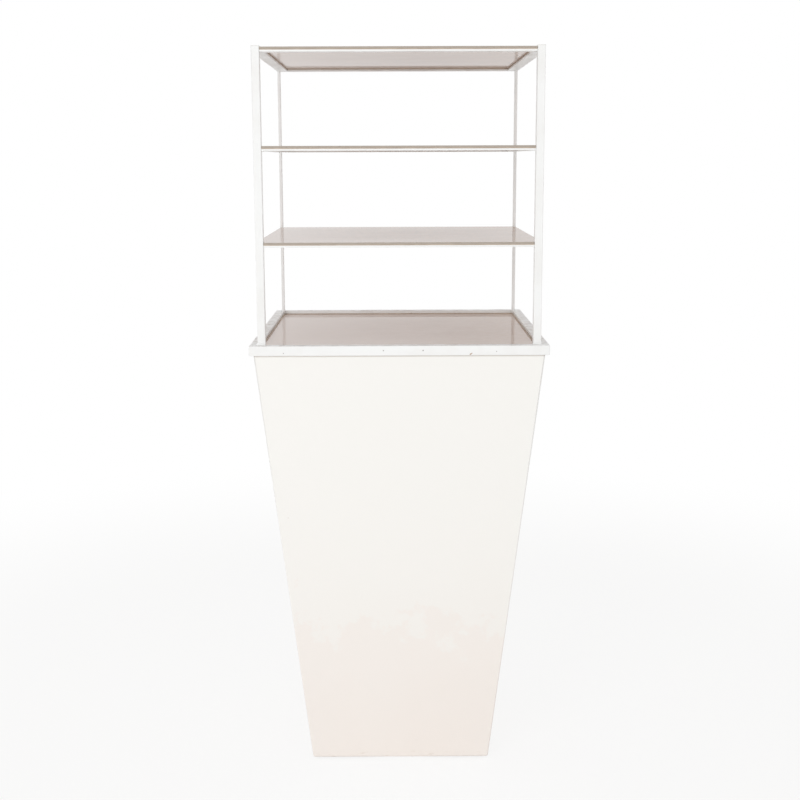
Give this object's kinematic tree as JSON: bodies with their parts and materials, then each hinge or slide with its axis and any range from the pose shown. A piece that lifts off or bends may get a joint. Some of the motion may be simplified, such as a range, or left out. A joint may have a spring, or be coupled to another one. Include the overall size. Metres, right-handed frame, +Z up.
{
  "type": "tiered display table",
  "caption": "White tapered plinth carrying a shallow rim tray with a glossy taupe panel and an open post riser of thin glossy shelves, for showing goods in a shop or at an event.",
  "frame": {"origin": "on the floor under the middle of the plinth, at the underside of the foot pads", "axes": "+Z up, -Y towards the front with the square tube posts, +X to the right seen from the front"},
  "size_m": [0.75, 0.75, 1.898],
  "materials": {
    "white_lacquer": "satin white lacquer on board",
    "raw_board": "bare board",
    "softwood": "bare planed softwood",
    "white_powder_coat": "satin white powder coat",
    "gloss_panel": "high gloss taupe",
    "brown_seal": "matt brown",
    "white_plastic": "satin white",
    "zinc_steel": "zinc plated"
  },
  "bodies": {
    "table": {"plinth_panel_front": "white_lacquer", "plinth_panel_right": "white_lacquer", "plinth_panel_back": "white_lacquer", "plinth_panel_left": "white_lacquer", "base_board": "raw_board", "deck_board": "raw_board", "corner_block_front_left": "softwood", "corner_block_front_right": "softwood", "corner_block_back_right": "softwood", "corner_block_back_left": "softwood", "foot_insert_front_left": "zinc_steel", "foot_insert_front_right": "zinc_steel", "foot_insert_back_right": "zinc_steel", "foot_insert_back_left": "zinc_steel", "rim_front": "white_powder_coat", "rim_right": "white_powder_coat", "rim_back": "white_powder_coat", "rim_left": "white_powder_coat", "tray_board": "raw_board", "tray_panel": "gloss_panel", "tray_bead": "brown_seal", "board_screw_front_left": "zinc_steel", "board_screw_front_right": "zinc_steel", "board_screw_back_right": "zinc_steel", "board_screw_back_left": "zinc_steel", "post_front_left": "white_powder_coat", "post_cap_front_left": "white_plastic", "post_front_right": "white_powder_coat", "post_cap_front_right": "white_plastic", "post_back_left": "white_powder_coat", "post_back_right": "white_powder_coat", "lower_rail_front": "white_powder_coat", "lower_rail_right": "white_powder_coat", "lower_rail_back": "white_powder_coat", "lower_rail_left": "white_powder_coat", "lower_bedding": "brown_seal", "lower_panel": "gloss_panel", "middle_rail_front": "white_powder_coat", "middle_rail_right": "white_powder_coat", "middle_rail_back": "white_powder_coat", "middle_rail_left": "white_powder_coat", "middle_bedding": "brown_seal", "middle_panel": "gloss_panel", "top_rail_front": "white_powder_coat", "top_rail_right": "white_powder_coat", "top_rail_back": "white_powder_coat", "top_rail_left": "white_powder_coat", "top_bedding": "brown_seal", "top_panel": "gloss_panel"},
    "pad_front_left": {"foot_pad_front_left": "zinc_steel"},
    "pad_front_right": {"foot_pad_front_right": "zinc_steel"},
    "pad_back_right": {"foot_pad_back_right": "zinc_steel"},
    "pad_back_left": {"foot_pad_back_left": "zinc_steel"},
    "stem_front_left": {"foot_stem_front_left": "zinc_steel"},
    "stem_front_right": {"foot_stem_front_right": "zinc_steel"},
    "stem_back_right": {"foot_stem_back_right": "zinc_steel"},
    "stem_back_left": {"foot_stem_back_left": "zinc_steel"}
  },
  "joints": [
    {"name": "front_left_foot_rise", "type": "slide", "parent": "table", "child": "pad_front_left", "axis": [0, 0, -1], "range_m": [0, 0.01]},
    {"name": "front_right_foot_rise", "type": "slide", "parent": "table", "child": "pad_front_right", "axis": [0, 0, -1], "range_m": [0, 0.01]},
    {"name": "back_right_foot_rise", "type": "slide", "parent": "table", "child": "pad_back_right", "axis": [0, 0, -1], "range_m": [0, 0.01]},
    {"name": "back_left_foot_rise", "type": "slide", "parent": "table", "child": "pad_back_left", "axis": [0, 0, -1], "range_m": [0, 0.01]},
    {"name": "front_left_stem_turn", "type": "hinge", "parent": "pad_front_left", "child": "stem_front_left", "pos_m": [-0.16386, -0.16386, 0.03], "axis": [0, 0, -1], "range_deg": [0, 2880]},
    {"name": "front_right_stem_turn", "type": "hinge", "parent": "pad_front_right", "child": "stem_front_right", "pos_m": [0.16386, -0.16386, 0.03], "axis": [0, 0, -1], "range_deg": [0, 2880]},
    {"name": "back_right_stem_turn", "type": "hinge", "parent": "pad_back_right", "child": "stem_back_right", "pos_m": [0.16386, 0.16386, 0.03], "axis": [0, 0, -1], "range_deg": [0, 2880]},
    {"name": "back_left_stem_turn", "type": "hinge", "parent": "pad_back_left", "child": "stem_back_left", "pos_m": [-0.16386, 0.16386, 0.03], "axis": [0, 0, -1], "range_deg": [0, 2880]}
  ],
  "couplings": [
    {"joint": "front_left_stem_turn", "follows": "front_left_foot_rise", "rad_per_m": 5026.5},
    {"joint": "front_right_stem_turn", "follows": "front_right_foot_rise", "rad_per_m": 5026.5},
    {"joint": "back_right_stem_turn", "follows": "back_right_foot_rise", "rad_per_m": 5026.5},
    {"joint": "back_left_stem_turn", "follows": "back_left_foot_rise", "rad_per_m": 5026.5}
  ]
}
